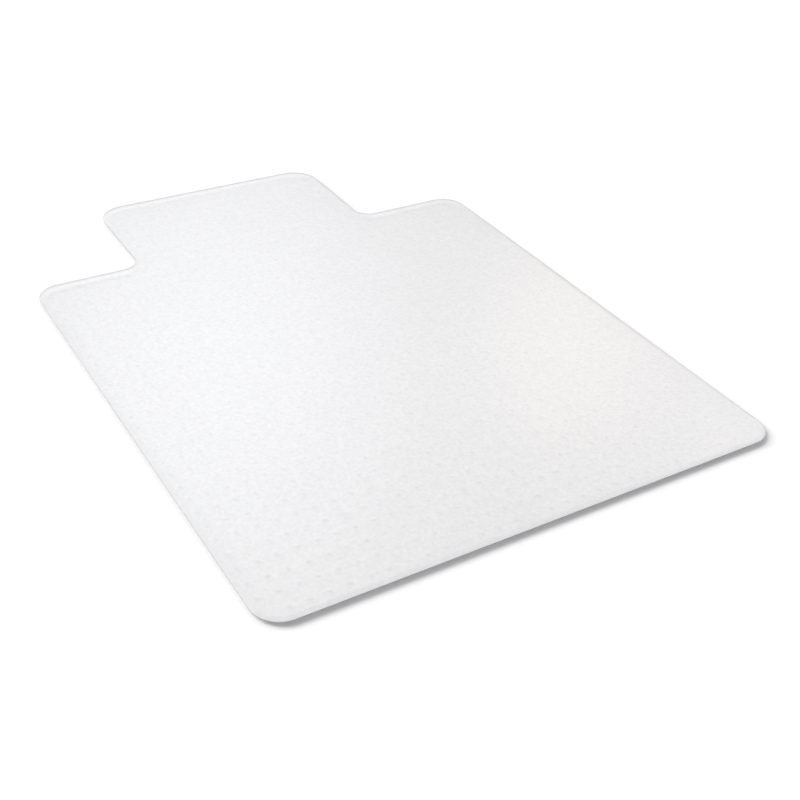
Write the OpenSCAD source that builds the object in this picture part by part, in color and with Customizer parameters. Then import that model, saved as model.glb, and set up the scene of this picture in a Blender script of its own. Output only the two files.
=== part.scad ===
// Clear chair mat with a lip that reaches into a desk's knee space.
// One translucent moulding, given here as its functional regions: the two flat sheets that
// the chair rolls on, the bevelled rim that runs round them, and the cleats underneath.
//
// The cleats' tips stand on z = 0 and the origin is under the middle of the outline.
// +Y points at the desk, so the lip is at the far end, and +X is to the sitter's right.

/* [Main panel] */
// Width of the mat from left to right
mat_w = 914.4; // [850:0.1:1220]
// Length of the main panel from the front edge to the shoulders
panel_l = 965.2; // [850:0.1:1270]
// Radius of the main panel's four corners, seen from above
corner_r = 46; // [20:1:60]

/* [Lip] */
// Width of the lip
lip_w = 482.6; // [380:0.1:510]
// Length of the lip beyond the shoulders
lip_l = 254; // [180:0.1:310]
// Distance from the mat's centre line to the lip's, negative to the left
lip_offset = -7; // [-10:0.5:10]
// Radius of the lip's two outer corners
lip_corner_r = 54; // [20:1:70]
// Radius of the two hollow corners where the lip leaves the shoulders
neck_r = 34; // [15:1:50]

/* [Sheet and rim] */
// Thickness of the sheet between its bevels, without the cleats
sheet_t = 2.8; // [2:0.1:5]
// Thickness of the cleated backing, which is the lower part of the sheet
backing_t = 0.8; // [0.5:0.1:1.2]
// Width of the bevel that lets castors roll onto the mat
bevel_w = 10; // [6:0.5:15]
// Thickness left at the outer edge of the bevel
rim_t = 2.4; // [0.8:0.1:2.6]

/* [Cleats] */
// Height of a cleat below the sheet
cleat_h = 5; // [3:0.1:9]
// Diameter of a cleat where it leaves the sheet
cleat_base_d = 5; // [3:0.1:7]
// Diameter of a cleat's blunt tip
cleat_tip_d = 1.6; // [0.8:0.1:2.4]
// Distance between cleats from left to right
cleat_pitch_x = 30.6; // [20:0.1:45]
// Distance between cleats from front to back
cleat_pitch_y = 32.6; // [20:0.1:45]
// Distance from the mat's left edge to the first column of cleats
first_column = 18.8; // [15:0.1:25]
// Distance from the mat's front edge to the first row of cleats
first_row = 24; // [15:0.1:30]
// Least distance from a cleat's axis to the bevel
cleat_margin = 4; // [4:0.5:10]

/* [Hidden] */
$fn = 64;

// Heights
under_z = cleat_h;
backing_top_z = under_z + backing_t;
top_z = under_z + sheet_t;

// Outline
total_l = panel_l + lip_l;
left_x = -mat_w / 2;
right_x = mat_w / 2;
lip_left_x = lip_offset - lip_w / 2;
lip_right_x = lip_offset + lip_w / 2;
front_y = -total_l / 2;
shoulder_y = front_y + panel_l;
lip_end_y = total_l / 2;

// The flat sheets end where the bevels begin
flat_left_x = left_x + bevel_w;
flat_right_x = right_x - bevel_w;
flat_front_y = front_y + bevel_w;
flat_rear_y = shoulder_y - bevel_w;
flat_lip_left_x = lip_left_x + bevel_w;
flat_lip_right_x = lip_right_x - bevel_w;
flat_lip_y = lip_end_y - bevel_w;

// Cleat lattice, counted from the front left corner
column_x = [for (x = left_x + first_column; x < right_x; x = x + cleat_pitch_x) x];
row_y = [for (y = front_y + first_row; y < lip_end_y; y = y + cleat_pitch_y) y];
panel_rows = floor((flat_rear_y - row_y[0]) / cleat_pitch_y) + 1;

// The backing is parted midway between two columns and between rows
part_x = column_x[floor(len(column_x) / 2)] - cleat_pitch_x / 2;
part_front_y = row_y[round(panel_rows / 3)] - cleat_pitch_y / 2;
part_rear_y = row_y[round(2 * panel_rows / 3)] - cleat_pitch_y / 2;

// A cleat's cone starts this far up inside the backing
cleat_root = backing_t / 2;
cleat_taper = (cleat_base_d - cleat_tip_d) / 2 / cleat_h;
cleat_root_r = cleat_base_d / 2 + cleat_taper * cleat_root;

// How far a cutter runs past the faces it cuts
cut = 1;

// Colours
sheet_colour = [0.90, 0.93, 0.96];
bevel_colour = [0.80, 0.85, 0.90];
corner_colour = [0.76, 0.82, 0.88];
cleat_colour = [0.70, 0.78, 0.86];

// Distance from point p to a rounded rectangle, below zero inside it
function round_rect_distance(p, low, high, r) =
    let (
        middle = (low + high) / 2,
        half = (high - low) / 2,
        dx = abs(p.x - middle.x) - half.x + r,
        dy = abs(p.y - middle.y) - half.y + r
    )
    norm([max(dx, 0), max(dy, 0)]) + min(max(dx, dy), 0) - r;

// True if a cleat at p keeps its margin from the bevels of the panel or of the lip
function has_cleat(p) =
    min(
        round_rect_distance(p, [left_x, front_y], [right_x, shoulder_y], corner_r),
        round_rect_distance(p, [lip_left_x, 0], [lip_right_x, lip_end_y], lip_corner_r)
    ) <= -bevel_w - cleat_margin;

module rounded_rectangle(low, high, r) {
    translate([low.x + r, low.y])
        square([high.x - low.x - 2 * r, high.y - low.y]);
    translate([low.x, low.y + r])
        square([high.x - low.x, high.y - low.y - 2 * r]);
    for (x = [low.x + r, high.x - r], y = [low.y + r, high.y - r])
        translate([x, y])
            circle(r);
}

// Flat part of the main panel
module panel_outline() {
    rounded_rectangle(
        [flat_left_x, flat_front_y],
        [flat_right_x, flat_rear_y],
        corner_r - bevel_w
    );
}

// Flat part of the lip, cut off square where it joins the main panel
module lip_outline() {
    intersection() {
        rounded_rectangle(
            [flat_lip_left_x, flat_rear_y - lip_corner_r],
            [flat_lip_right_x, flat_lip_y],
            lip_corner_r - bevel_w
        );
        translate([flat_lip_left_x, flat_rear_y])
            square([flat_lip_right_x - flat_lip_left_x, flat_lip_y - flat_rear_y]);
    }
}

// Smooth upper part of the sheet; its outline is the child
module top_sheet() {
    color(sheet_colour)
        translate([0, 0, backing_top_z])
            linear_extrude(top_z - backing_top_z)
                children();
}

// Section of the bevel, from the flat sheet at x = 0 out to the thin edge
module bevel_section() {
    polygon([[0, 0], [bevel_w, 0], [bevel_w, rim_t], [0, sheet_t]]);
}

// Straight stretch of rim along X, from one x to another, whose thin edge faces the heading
module bevel_along_x(from_x, to_x, inner_y, heading) {
    color(bevel_colour)
        translate([(from_x + to_x) / 2, inner_y, under_z])
            rotate([90, 0, heading])
                linear_extrude(to_x - from_x, center = true)
                    bevel_section();
}

// Straight stretch of rim along Y, from one y to another, whose thin edge faces the heading
module bevel_along_y(from_y, to_y, inner_x, heading) {
    color(bevel_colour)
        translate([inner_x, (from_y + to_y) / 2, under_z])
            rotate([90, 0, heading])
                linear_extrude(to_y - from_y, center = true)
                    bevel_section();
}

// Quarter of a rounded corner, from the given heading to the next one
module bevel_corner(middle, r, heading) {
    color(corner_colour)
        translate([middle.x, middle.y, under_z])
            rotate(heading)
                rotate_extrude(angle = 90)
                    translate([r - bevel_w, 0])
                        bevel_section();
}

// Web and bevel of a hollow corner, whose round edge is centred on the origin and whose
// square corner points to -X and -Y
module neck() {
    reach = neck_r + bevel_w;
    bevel_run_per_rise = bevel_w / (sheet_t - rim_t);
    color(corner_colour)
        translate([0, 0, under_z])
            difference() {
                translate([-reach, -reach, 0])
                    cube([reach, reach, sheet_t]);
                translate([0, 0, -cut])
                    cylinder(h = sheet_t + 2 * cut, r = neck_r);
                translate([0, 0, rim_t])
                    cylinder(
                        h = sheet_t - rim_t + cut,
                        r1 = neck_r,
                        r2 = reach + bevel_run_per_rise * cut
                    );
            }
}

// One cleat, with its tip at the origin
module cleat() {
    cylinder(h = cleat_h + cleat_root, r1 = cleat_tip_d / 2, r2 = cleat_root_r);
}

// Backing between two corners with all its cleats; the backing's outline is the child
module cleat_field(low, high) {
    color(cleat_colour) {
        translate([0, 0, under_z])
            linear_extrude(backing_t)
                intersection() {
                    children();
                    translate(low)
                        square(high - low);
                }
        for (x = column_x, y = row_y)
            if (x > low.x && x < high.x && y > low.y && y < high.y && has_cleat([x, y]))
                translate([x, y, 0])
                    cleat();
    }
}

module main_sheet() {
    top_sheet()
        panel_outline();
}

module lip_sheet() {
    top_sheet()
        lip_outline();
}

module front_bevel() {
    bevel_along_x(left_x + corner_r, right_x - corner_r, flat_front_y, -90);
}

module left_bevel() {
    bevel_along_y(front_y + corner_r, shoulder_y - corner_r, flat_left_x, 180);
}

module right_bevel() {
    bevel_along_y(front_y + corner_r, shoulder_y - corner_r, flat_right_x, 0);
}

module left_shoulder_bevel() {
    bevel_along_x(left_x + corner_r, lip_left_x - neck_r, flat_rear_y, 90);
}

module right_shoulder_bevel() {
    bevel_along_x(lip_right_x + neck_r, right_x - corner_r, flat_rear_y, 90);
}

module lip_left_bevel() {
    bevel_along_y(shoulder_y + neck_r, lip_end_y - lip_corner_r, flat_lip_left_x, 180);
}

module lip_right_bevel() {
    bevel_along_y(shoulder_y + neck_r, lip_end_y - lip_corner_r, flat_lip_right_x, 0);
}

module lip_end_bevel() {
    bevel_along_x(lip_left_x + lip_corner_r, lip_right_x - lip_corner_r, flat_lip_y, 90);
}

module front_left_corner() {
    bevel_corner([left_x + corner_r, front_y + corner_r], corner_r, 180);
}

module front_right_corner() {
    bevel_corner([right_x - corner_r, front_y + corner_r], corner_r, 270);
}

module rear_left_corner() {
    bevel_corner([left_x + corner_r, shoulder_y - corner_r], corner_r, 90);
}

module rear_right_corner() {
    bevel_corner([right_x - corner_r, shoulder_y - corner_r], corner_r, 0);
}

module lip_left_corner() {
    bevel_corner([lip_left_x + lip_corner_r, lip_end_y - lip_corner_r], lip_corner_r, 90);
}

module lip_right_corner() {
    bevel_corner([lip_right_x - lip_corner_r, lip_end_y - lip_corner_r], lip_corner_r, 0);
}

module left_neck() {
    translate([lip_left_x - neck_r, shoulder_y + neck_r])
        mirror([1, 0, 0])
            neck();
}

module right_neck() {
    translate([lip_right_x + neck_r, shoulder_y + neck_r])
        neck();
}

module cleats_front_left() {
    cleat_field([flat_left_x, flat_front_y], [part_x, part_front_y])
        panel_outline();
}

module cleats_front_right() {
    cleat_field([part_x, flat_front_y], [flat_right_x, part_front_y])
        panel_outline();
}

module cleats_middle_left() {
    cleat_field([flat_left_x, part_front_y], [part_x, part_rear_y])
        panel_outline();
}

module cleats_middle_right() {
    cleat_field([part_x, part_front_y], [flat_right_x, part_rear_y])
        panel_outline();
}

module cleats_rear_left() {
    cleat_field([flat_left_x, part_rear_y], [part_x, flat_rear_y])
        panel_outline();
}

module cleats_rear_right() {
    cleat_field([part_x, part_rear_y], [flat_right_x, flat_rear_y])
        panel_outline();
}

module cleats_lip() {
    cleat_field([flat_lip_left_x, flat_rear_y], [flat_lip_right_x, flat_lip_y])
        lip_outline();
}

main_sheet();
lip_sheet();
front_bevel();
left_bevel();
right_bevel();
left_shoulder_bevel();
right_shoulder_bevel();
lip_left_bevel();
lip_right_bevel();
lip_end_bevel();
front_left_corner();
front_right_corner();
rear_left_corner();
rear_right_corner();
lip_left_corner();
lip_right_corner();
left_neck();
right_neck();
cleats_front_left();
cleats_front_right();
cleats_middle_left();
cleats_middle_right();
cleats_rear_left();
cleats_rear_right();
cleats_lip();
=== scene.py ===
"""A clear chair mat on a pale studio floor.

The sheet and its bevelled rim are one seamless moulding, and the cleats under it stand
in the same seven fields as in the CAD model."""

import math

import bmesh
import bpy
import numpy as np
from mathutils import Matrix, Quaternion, Vector
from mathutils.geometry import delaunay_2d_cdt


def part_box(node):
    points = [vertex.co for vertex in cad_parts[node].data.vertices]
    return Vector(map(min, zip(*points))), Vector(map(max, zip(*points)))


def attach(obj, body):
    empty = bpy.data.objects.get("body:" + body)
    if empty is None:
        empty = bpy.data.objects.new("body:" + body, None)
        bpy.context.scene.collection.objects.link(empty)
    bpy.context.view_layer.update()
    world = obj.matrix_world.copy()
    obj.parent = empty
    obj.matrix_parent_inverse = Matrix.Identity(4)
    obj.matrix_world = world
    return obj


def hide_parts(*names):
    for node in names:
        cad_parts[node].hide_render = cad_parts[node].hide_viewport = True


MM = 0.001

# Camera
CAMERA_AT = (-0.9223, -1.6086, 1.1490)
CAMERA_TURN = 32.515      # degrees to the right of +Y
CAMERA_DIP = 35.165       # degrees below the horizon
CAMERA_ROLL = 3.18        # degrees
CAMERA_LENS = 54.55       # mm, on a 36 mm sensor
CAMERA_SHIFT = 0.0125

# Studio: directions are in degrees, to the right of +Y and above the horizon
FLOOR_R = 12.0
FLOOR_DROP = 0.02 * MM    # keeps the floor clear of the cleats' tips
FLOOR_COLOUR = (0.74, 0.735, 0.728, 1)
DOME = (0.935, 0.955, 1.0, 1)
DOME_LEVEL = 0.52
KEY_COLOUR = (1.0, 0.98, 0.962)
KEYS = [  # direction, width and strength of the main lamps
    (-38, 40, 44, 2.95),
    (-40, 17, 34, 2.1),
]
GLOWS = [  # direction, half width, colour and strength of the dome's soft glows
    (22, 36, 8.5, (0.90, 0.945, 1.0, 1), 6.4),
    (42, 32, 3, (1.0, 0.91, 0.76, 1), 6.6),
    (54, 33, 5, (1.0, 0.94, 0.95, 1), 4.1),
]

# Moulding
RIM_T = 2.4 * MM          # thickness left at the outer edge of the bevel, as in the CAD
UNDER_FILLET = 0.3 * MM
EDGE_FILLET = 0.2 * MM
CREASE_FILLET = 1.6 * MM
SUPPORT = 4 * MM          # flat margin kept inside the crease
ARC_STEPS = 28
FILLET_STEPS = 5
GRID = 26 * MM            # spacing of the points that carry the flat faces

# Where the sheet rests on a cleat it stands a hair higher
RISE = 0.16 * MM
RISE_R = 7.5 * MM
RISE_RINGS = 6
RISE_SIDES = 12

# How much of a rise's height the painted shade over a cleat, for its shade and shadow, reaches
# down to
CLEAT_SHADE_PART = 0.45

# Cleats
CLEAT_SIDES = 16
BASE_R = 2.5 * MM
ROOT_FILLET = 0.9 * MM
TIP_FILLET = 0.6          # part of the tip's radius
SAME_CLEAT = 5 * MM       # tip points nearer than this belong to one cleat
LEVEL = 0.01 * MM         # heights nearer than this are the same

# Vinyl
IOR = 1.53
CLOUD_SCALE = 9.0         # slow drift between a material's two shades
# Painted shade: the grain's hollows are darkened by this part
HOLLOW_PAINTED_SHADE = 0.83         # the shade in the grain's hollows
WHITE = (0.812, 0.808, 0.804, 1)
COOL = (0.783, 0.778, 0.781, 1)
# Painted shade on the rim's outer face, for the shade on that edge and in the gap under it
CUT_EDGE_SHADE = (0.42, 0.42, 0.44, 1)
# Painted shade over the cleats, for their shade and shadows seen through the sheet
CLEAT_SHADE = (0.737, 0.732, 0.735, 1)
DIM = (0.70, 0.695, 0.70, 1)
CLEAR = (0.74, 0.745, 0.75, 1)

# Order of the moulding's materials
TOP, RIM_UNDER, UNDER, CUT_EDGE, OVER_CLEATS = range(5)


def panel_outline():
    """Every rounded corner of the outline, anticlockwise from the front left one, as its
    centre, radius, start angle and turn in quarter circles (negative in a hollow corner)."""
    low = Vector((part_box("left_bevel")[0].x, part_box("front_bevel")[0].y))
    high = Vector((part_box("right_bevel")[1].x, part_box("right_shoulder_bevel")[1].y))
    lip_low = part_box("lip_left_bevel")[0].x
    lip_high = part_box("lip_right_bevel")[1].x
    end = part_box("lip_end_bevel")[1].y
    r = width("front_left_corner")
    q = width("lip_left_corner")
    n = width("left_neck") - width("left_bevel")
    return [
        ((low.x + r, low.y + r), r, 180, 1),
        ((high.x - r, low.y + r), r, 270, 1),
        ((high.x - r, high.y - r), r, 0, 1),
        ((lip_high + n, high.y + n), n, 270, -1),
        ((lip_high - q, end - q), q, 0, 1),
        ((lip_low + q, end - q), q, 90, 1),
        ((lip_low - n, high.y + n), n, 0, -1),
        ((low.x + r, high.y - r), r, 90, 1),
    ]


def width(node):
    """A node's extent along X."""
    low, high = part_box(node)
    return high.x - low.x


def ring(corners, inset):
    """The outline drawn in by inset, as points."""
    points = []
    for (cx, cy), radius, start, turn in corners:
        r = radius - inset * turn
        for k in range(ARC_STEPS + 1):
            a = math.radians(start + 90 * turn * k / ARC_STEPS)
            points.append((cx + r * math.cos(a), cy + r * math.sin(a)))
    return points


def filleted(points, radii):
    """A polyline with each inner corner rounded to its radius."""
    out = [points[0]]
    for before, at, after, r in zip(points, points[1:], points[2:], radii):
        before, at, after = Vector(before), Vector(at), Vector(after)
        u, v = (before - at).normalized(), (after - at).normalized()
        half = u.angle(v) / 2
        back = r / math.tan(half)
        centre = at + (u + v).normalized() * (r / math.sin(half))
        p, q = (at + u * back - centre).normalized(), (at + v * back - centre).normalized()
        for k in range(FILLET_STEPS + 1):
            out.append(tuple(centre + p.slerp(q, k / FILLET_STEPS) * r))
    out.append(points[-1])
    return out


def inside(points, loop):
    """Which of the points lie inside the closed polygon."""
    x, y = points[:, 0], points[:, 1]
    crossed = np.zeros(len(points), bool)
    for (ax, ay), (bx, by) in zip(loop, np.roll(loop, -1, axis=0)):
        if ay != by:
            between = (ay > y) != (by > y)
            crossed ^= between & (x < ax + (bx - ax) * (y - ay) / (by - ay))
    return crossed


def plain_spots(loop):
    """An even grid of points inside the loop, at no height."""
    low, high = loop.min(0), loop.max(0)
    xs, ys = (np.arange(low[i] + GRID / 2, high[i], GRID) for i in (0, 1))
    x, y = (m.ravel() for m in np.meshgrid(xs, ys))
    return np.stack([x, y, np.zeros(len(x))], 1)


def raised_spots(places):
    """Points of the low rises where the sheet rests on its cleats, with their heights."""
    shape = [(0.0, 0.0, RISE)]
    for step in range(1, RISE_RINGS + 1):
        part = step / RISE_RINGS
        for k in range(RISE_SIDES):
            a = math.tau * k / RISE_SIDES
            height = RISE * (1 + math.cos(math.pi * part)) / 2
            shape.append((RISE_R * part * math.cos(a), RISE_R * part * math.sin(a), height))
    at = np.array([(x, y, 0.0) for x, y in places])
    return (at[:, None] + np.array(shape)[None]).reshape(-1, 3)


def fill(bm, verts, up, places=()):
    """Closes a ring of flat vertices, with a low rise over each of the places."""
    loop = np.array([v.co[:2] for v in verts])
    z = verts[0].co.z
    spots = raised_spots(places) if places else plain_spots(loop)
    spots = spots[inside(spots, loop)]
    flat = [Vector(p) for p in np.concatenate([loop, spots[:, :2]]).tolist()]
    edges = [(i, (i + 1) % len(loop)) for i in range(len(loop))]
    points, _, faces, origin, _, _ = delaunay_2d_cdt(flat, edges, [], 1, 1e-7)
    made = []
    for p, source in zip(points, origin):
        if source[0] < len(verts):
            made.append(verts[source[0]])
        else:
            lift = max(spots[i - len(verts), 2] for i in source)
            made.append(bm.verts.new((p.x, p.y, z + lift)))
    result = []
    for f in faces:
        corners = [made[i] for i in f]
        result.append(bm.faces.new(corners if up else corners[::-1]))
    return result


def object_from(bm, name, materials):
    """Turns the mesh being built into a smooth shaded object of the scene."""
    bmesh.ops.recalc_face_normals(bm, faces=bm.faces)
    mesh = bpy.data.meshes.new(name)
    bm.to_mesh(mesh)
    bm.free()
    for m in materials:
        mesh.materials.append(m)
    obj = bpy.data.objects.new(name, mesh)
    bpy.context.scene.collection.objects.link(obj)
    mesh.shade_smooth()
    return obj


def moulding(materials, places):
    """The sheet with its bevelled rim: a stack of rings, closed by two flat faces."""
    corners = panel_outline()
    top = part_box("main_sheet")[1].z
    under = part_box("front_bevel")[0].z
    bevel = width("left_bevel")
    section = filleted(
        [
            (bevel + SUPPORT, under),
            (0, under),
            (0, under + RIM_T),
            (bevel, top),
            (bevel + SUPPORT, top),
        ],
        [UNDER_FILLET, EDGE_FILLET, CREASE_FILLET],
    )
    bm = bmesh.new()
    rings = [
        [bm.verts.new((x, y, z)) for x, y in ring(corners, inset)] for inset, z in section
    ]
    for outer, inner in zip(rings, rings[1:]):
        n = len(outer)
        for i in range(n):
            j = (i + 1) % n
            face = bm.faces.new((outer[i], outer[j], inner[j], inner[i]))
            low, high = outer[0].co.z, inner[0].co.z
            if high - low > RIM_T / 3 and outer[0].co.x == inner[0].co.x:
                # The rim's outer face gets the painted shade
                face.material_index = CUT_EDGE
            else:
                face.material_index = TOP if high > under + RIM_T / 2 else RIM_UNDER
    for f in fill(bm, rings[-1], True, places):
        low = min(v.co.z for v in f.verts)
        # Faces high on a rise over a cleat get the painted shade
        f.material_index = OVER_CLEATS if low > top + CLEAT_SHADE_PART * RISE else TOP
    for f in fill(bm, rings[0], False):
        f.material_index = UNDER
    return object_from(bm, "Mat_moulding", materials)


def clusters(values, gap):
    """Midpoints of the groups that sorted values fall into."""
    values = np.sort(values)
    groups = np.split(values, np.where(np.diff(values) > gap)[0] + 1)
    return np.array([(g[0] + g[-1]) / 2 for g in groups])


def cleat_places(node):
    """Where a CAD field's cleats stand, read from their tips."""
    co = np.array([v.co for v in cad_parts[node].data.vertices])
    tips = co[co[:, 2] < co[:, 2].min() + LEVEL]
    xs, ys = clusters(tips[:, 0], SAME_CLEAT), clusters(tips[:, 1], SAME_CLEAT)
    column = np.abs(tips[:, :1] - xs).argmin(1)
    row = np.abs(tips[:, 1:2] - ys).argmin(1)
    return [(xs[i], ys[j]) for i, j in sorted(set(zip(column, row)))], tips


def cleat_section(under, tip_r):
    """Radius and height from the root on the sheet's underside to the rounded tip."""
    corners = [(BASE_R + 2 * ROOT_FILLET, under), (BASE_R, under), (tip_r, 0.0), (0.0, 0.0)]
    return filleted(corners, [ROOT_FILLET, tip_r * TIP_FILLET])[1:-1]


def cleats(node, name, material, under):
    """All the cleats of one CAD field, as closed turned shapes."""
    places, tips = cleat_places(node)
    x0, y0 = places[0]
    near = np.hypot(tips[:, 0] - x0, tips[:, 1] - y0)
    tip_r = near[near < SAME_CLEAT].max()
    section = cleat_section(under, tip_r)
    bm = bmesh.new()
    for x, y in places:
        rings = []
        for r, z in section:
            rings.append([
                bm.verts.new((
                    x + r * math.cos(math.tau * k / CLEAT_SIDES),
                    y + r * math.sin(math.tau * k / CLEAT_SIDES),
                    z,
                ))
                for k in range(CLEAT_SIDES)
            ])
        bm.faces.new(rings[0])
        bm.faces.new(rings[-1])
        for a, b in zip(rings, rings[1:]):
            for i in range(CLEAT_SIDES):
                j = (i + 1) % CLEAT_SIDES
                bm.faces.new((a[i], a[j], b[j], b[i]))
    return object_from(bm, name, [material])


class Tree:
    """A short way to write a node tree."""

    def __init__(self, tree):
        self.tree = tree

    def node(self, kind, links=None, **values):
        n = self.tree.nodes.new("ShaderNode" + kind)
        for key, value in values.items():
            setattr(n, key, value)
        for key, value in (links or {}).items():
            if isinstance(value, bpy.types.NodeSocket):
                self.tree.links.new(value, n.inputs[key])
            else:
                n.inputs[key].default_value = value
        return n


def plastic(name, colour, shade, alpha, roughness, grain, depth):
    """Translucent vinyl: two near shades clouded together under a moulded grain, with painted
    shade in its hollows.
    grain is the size of the pattern and depth its height, in metres."""
    mat = bpy.data.materials.new(name)
    mat.use_nodes = True
    mat.node_tree.nodes.clear()
    t = Tree(mat.node_tree)
    where = t.node("TexCoord").outputs["Object"]
    cloud = t.node("TexNoise", {"Vector": where, "Scale": CLOUD_SCALE, "Detail": 3.0})
    tint = t.node(
        "Mix", {"Factor": cloud.outputs["Fac"], "A": colour, "B": shade}, data_type="RGBA"
    )
    pebble = t.node("TexNoise", {"Vector": where, "Scale": 1 / grain, "Detail": 2.0})
    # Painted shade in the grain's hollows, where the bump's height is low
    low = tuple(HOLLOW_PAINTED_SHADE * c for c in shade[:3]) + (1,)
    grain_with_hollow_shade = t.node(
        "Mix",
        {"Factor": pebble.outputs["Fac"], "A": low, "B": tint.outputs["Result"]},
        data_type="RGBA",
    )
    bump = t.node("Bump", {"Height": pebble.outputs["Fac"], "Distance": depth, "Strength": 1.0})
    shader = t.node(
        "BsdfPrincipled",
        {
            "Base Color": grain_with_hollow_shade.outputs["Result"],
            "Roughness": roughness,
            "IOR": IOR,
            "Alpha": alpha,
            "Normal": bump.outputs["Normal"],
        },
    )
    t.node("OutputMaterial", {"Surface": shader.outputs[0]})
    return mat


def floor_material():
    """The studio floor's plain matt white."""
    mat = bpy.data.materials.new("Studio_floor")
    mat.use_nodes = True
    shader = mat.node_tree.nodes["Principled BSDF"]
    shader.inputs["Base Color"].default_value = FLOOR_COLOUR
    shader.inputs["Roughness"].default_value = 0.9
    shader.inputs["Specular IOR Level"].default_value = 0.1
    return mat


def floor():
    """A wide round floor that isn't part of the mat."""
    bm = bmesh.new()
    bmesh.ops.create_circle(bm, cap_ends=True, segments=64, radius=FLOOR_R)
    obj = object_from(bm, "Floor", [floor_material()])
    obj.location.z = -FLOOR_DROP


def lobe(t, azimuth, elevation, spread, colour, strength):
    """A soft glow of the studio's dome round one direction; spread is its half width."""
    a, e = math.radians(azimuth), math.radians(elevation)
    way = (math.sin(a) * math.cos(e), math.cos(a) * math.cos(e), math.sin(e))
    facing = t.node(
        "VectorMath", {0: t.node("TexCoord").outputs["Generated"], 1: way},
        operation="DOT_PRODUCT",
    ).outputs["Value"]
    # A power of the cosine that has fallen to a half at the spread angle
    power = math.log(0.5) / math.log(math.cos(math.radians(spread)))
    above = t.node("Math", {0: facing, 1: 0.0}, operation="MAXIMUM").outputs[0]
    fall = t.node("Math", {0: above, 1: power}, operation="POWER").outputs[0]
    level = t.node("Math", {0: fall, 1: strength}, operation="MULTIPLY").outputs[0]
    return t.node("Background", {"Color": colour, "Strength": level}).outputs[0]


def sun(name, azimuth, elevation, wide, strength):
    """A far lamp, wide degrees across."""
    data = bpy.data.lights.new(name, "SUN")
    data.energy = strength
    data.color = KEY_COLOUR
    data.angle = math.radians(wide)
    obj = bpy.data.objects.new(name, data)
    a, e = math.radians(azimuth), math.radians(elevation)
    away = Vector((math.sin(a) * math.cos(e), math.cos(a) * math.cos(e), math.sin(e)))
    obj.rotation_euler = away.to_track_quat("Z", "Y").to_euler()
    obj.visible_glossy = False  # the glows of the dome give the sheen
    bpy.context.scene.collection.objects.link(obj)


def studio():
    """The dome with its glows, the main lamps and the floor."""
    scene = bpy.context.scene
    scene.view_settings.view_transform = "Standard"
    world = bpy.data.worlds.new("Studio")
    world.use_nodes = True
    world.node_tree.nodes.clear()
    t = Tree(world.node_tree)
    light = t.node("Background", {"Color": DOME, "Strength": DOME_LEVEL}).outputs[0]
    for glow in GLOWS:
        light = t.node("AddShader", {0: light, 1: lobe(t, *glow)}).outputs[0]
    t.node("OutputWorld", {"Surface": light})
    scene.world = world
    for number, key in enumerate(KEYS):
        sun("Key_%d" % number, *key)
    floor()


def camera():
    """The camera at the photograph's place."""
    data = bpy.data.cameras.new("Camera")
    data.lens = CAMERA_LENS
    data.shift_x = CAMERA_SHIFT
    obj = bpy.data.objects.new("Camera", data)
    obj.location = CAMERA_AT
    a, e = math.radians(CAMERA_TURN), math.radians(CAMERA_DIP)
    look = Vector((math.sin(a) * math.cos(e), math.cos(a) * math.cos(e), -math.sin(e)))
    obj.rotation_mode = "QUATERNION"
    roll = Quaternion((0, 0, 1), math.radians(CAMERA_ROLL))
    obj.rotation_quaternion = look.to_track_quat("-Z", "Y") @ roll
    bpy.context.scene.collection.objects.link(obj)
    bpy.context.scene.camera = obj


def place(obj, slot, *nodes):
    """Fixes a piece to the mat's body in the place of its CAD nodes."""
    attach(obj, "root")
    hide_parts(*nodes)


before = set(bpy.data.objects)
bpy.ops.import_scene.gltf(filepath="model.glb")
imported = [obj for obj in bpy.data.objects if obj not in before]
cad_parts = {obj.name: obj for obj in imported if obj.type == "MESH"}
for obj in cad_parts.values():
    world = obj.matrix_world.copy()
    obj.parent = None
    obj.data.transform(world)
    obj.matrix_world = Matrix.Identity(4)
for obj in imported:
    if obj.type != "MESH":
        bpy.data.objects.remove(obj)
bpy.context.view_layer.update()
camera()
studio()

pebbled = plastic("Pebbled_vinyl", WHITE, COOL, 0.50, 0.20, 5.5 * MM, 0.18 * MM)
satin = plastic("Satin_vinyl", DIM, DIM, 0.80, 0.4, 6 * MM, 0.02 * MM)
backing = plastic("Backing_vinyl", WHITE, COOL, 0.36, 0.45, 5 * MM, 0.03 * MM)
cleat_shade_vinyl = plastic("Pebbled_vinyl_painted_cleat_shade", CLEAT_SHADE, CLEAT_SHADE, 0.52, 0.20, 5.5 * MM, 0.16 * MM)
cut_edge_shade_vinyl = plastic("Cut_edge_painted_shade", CUT_EDGE_SHADE, CUT_EDGE_SHADE, 0.8, 0.5, 3 * MM, 0.02 * MM)
clear = plastic("Cleat_vinyl", CLEAR, CLEAR, 0.20, 0.12, 4 * MM, 0.01 * MM)

CLEAT_FIELDS = [n for n in sorted(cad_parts) if n.startswith("cleats_")]
SHEET_NODES = [n for n in sorted(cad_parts) if n not in CLEAT_FIELDS]
places = [p for field in CLEAT_FIELDS for p in cleat_places(field)[0]]
mat = moulding([pebbled, satin, backing, cut_edge_shade_vinyl, cleat_shade_vinyl], places)
place(mat, "sheet", *SHEET_NODES)
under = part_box("front_bevel")[0].z
for field in CLEAT_FIELDS:
    place(cleats(field, field.capitalize() + "_field", clear, under), "cleats", field)
